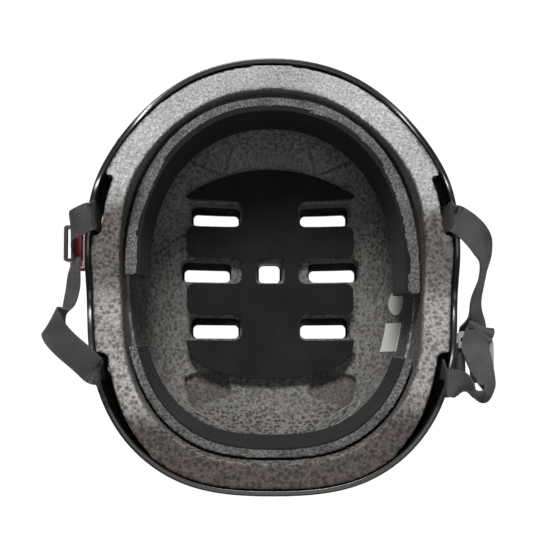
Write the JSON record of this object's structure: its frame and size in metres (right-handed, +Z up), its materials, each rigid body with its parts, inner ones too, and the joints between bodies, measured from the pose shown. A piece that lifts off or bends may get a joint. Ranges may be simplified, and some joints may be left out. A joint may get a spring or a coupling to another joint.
{
  "type": "skateboard helmet",
  "caption": "Open round skate helmet with a hard shell, bead foam liner, stick-in comfort pads, riveted web straps and a side-release chin buckle, lying crown down.",
  "frame": {"origin": "middle of the small flat on the crown that touches the floor, with the helmet lying on its crown", "axes": "+Z up out of the head opening, +Y to the brow, +X to the side whose webs carry the grey divider"},
  "size_m": [0.2622, 0.256, 0.1643],
  "materials": {
    "shell_black": "hard black shell, satin to gloss",
    "eps_grey": "moulded bead foam, mottled grey",
    "pad_foam": "open foam edge, matt grey",
    "pad_cloth": "brushed black cloth",
    "hook_tape": "black hook tape",
    "webbing": "ribbed dark grey webbing",
    "rivet_steel": "black coated rivet",
    "washer_steel": "zinc plated",
    "red_plastic": "red moulded plastic",
    "black_plastic": "black moulded plastic",
    "grey_plastic": "light grey moulded plastic",
    "sticker_white": "plain white sticker"
  },
  "bodies": {
    "root": {"outer_shell": "shell_black", "eps_liner": "eps_grey", "brow_hooks": "hook_tape", "rear_hooks": "hook_tape", "crown_hooks": "hook_tape", "web_roots": "webbing", "front_rivets": "rivet_steel", "rear_rivets": "rivet_steel", "rivet_washers": "washer_steel", "size_sticker": "sticker_white", "label_sticker": "sticker_white"},
    "crown_pad": {"crown_pad_foam": "pad_foam", "crown_pad_face": "pad_cloth"},
    "brow_pad": {"brow_pad_foam": "pad_foam", "brow_pad_face": "pad_cloth"},
    "rear_pad": {"rear_pad_foam": "pad_foam", "rear_pad_face": "pad_cloth"},
    "left_strap": {"left_front_web": "webbing", "left_rear_web": "webbing", "left_keeper": "black_plastic"},
    "plug": {"plug_body": "red_plastic"},
    "front_wing": {"plug_wing_front": "red_plastic"},
    "rear_wing": {"plug_wing_rear": "red_plastic"},
    "right_strap": {"right_front_web": "webbing", "right_rear_web": "webbing", "right_divider": "grey_plastic"},
    "chin_strap": {"chin_web": "webbing"},
    "chin_pad": {"chin_pad": "pad_cloth"},
    "chin_slider": {"chin_slider": "black_plastic"},
    "socket": {"buckle_socket": "black_plastic"}
  },
  "joints": [
    {"name": "crown_pad_lift", "type": "slide", "parent": "root", "child": "crown_pad", "axis": [0, 0, 1], "range_m": [0, 0.13]},
    {"name": "brow_pad_lift", "type": "slide", "parent": "root", "child": "brow_pad", "axis": [0, 0, 1], "range_m": [0, 0.14]},
    {"name": "rear_pad_lift", "type": "slide", "parent": "root", "child": "rear_pad", "axis": [0, 0, 1], "range_m": [0, 0.13]},
    {"name": "left_strap_swing", "type": "hinge", "parent": "root", "child": "left_strap", "pos_m": [-0.10551, 0.024, 0.1521], "axis": [-0.052, 0.9962, -0.0705], "range_deg": [0, 150]},
    {"name": "plug_pivot", "type": "hinge", "parent": "left_strap", "child": "plug", "pos_m": [-0.1161, 0.009, 0.1186], "axis": [0, 1, 0], "range_deg": [0, 80]},
    {"name": "front_wing_squeeze", "type": "hinge", "parent": "plug", "child": "front_wing", "pos_m": [-0.1161, 0.01781, 0.106], "axis": [-1, 0, 0], "range_deg": [0, 6], "stiffness_Nm_per_rad": 0.05},
    {"name": "rear_wing_squeeze", "type": "hinge", "parent": "plug", "child": "rear_wing", "pos_m": [-0.1161, 0.00019, 0.106], "axis": [1, 0, 0], "range_deg": [0, 6], "stiffness_Nm_per_rad": 0.05},
    {"name": "right_strap_swing", "type": "hinge", "parent": "root", "child": "right_strap", "pos_m": [0.10551, 0.024, 0.1521], "axis": [-0.052, -0.9962, 0.0705], "range_deg": [0, 150]},
    {"name": "chin_strap_swing", "type": "hinge", "parent": "right_strap", "child": "chin_strap", "pos_m": [0.1095, -0.06, 0.1294], "axis": [0, -1, 0], "range_deg": [0, 80]},
    {"name": "chin_pad_slide", "type": "slide", "parent": "chin_strap", "child": "chin_pad", "axis": [0, 0, 1], "range_m": [0, 0.006]},
    {"name": "chin_slider_slide", "type": "slide", "parent": "chin_strap", "child": "chin_slider", "axis": [0, 0, 1], "range_m": [0, 0.009]},
    {"name": "socket_pivot", "type": "hinge", "parent": "chin_strap", "child": "socket", "pos_m": [0.1095, -0.06, 0.044], "axis": [0, -1, 0], "range_deg": [0, 80]}
  ]
}
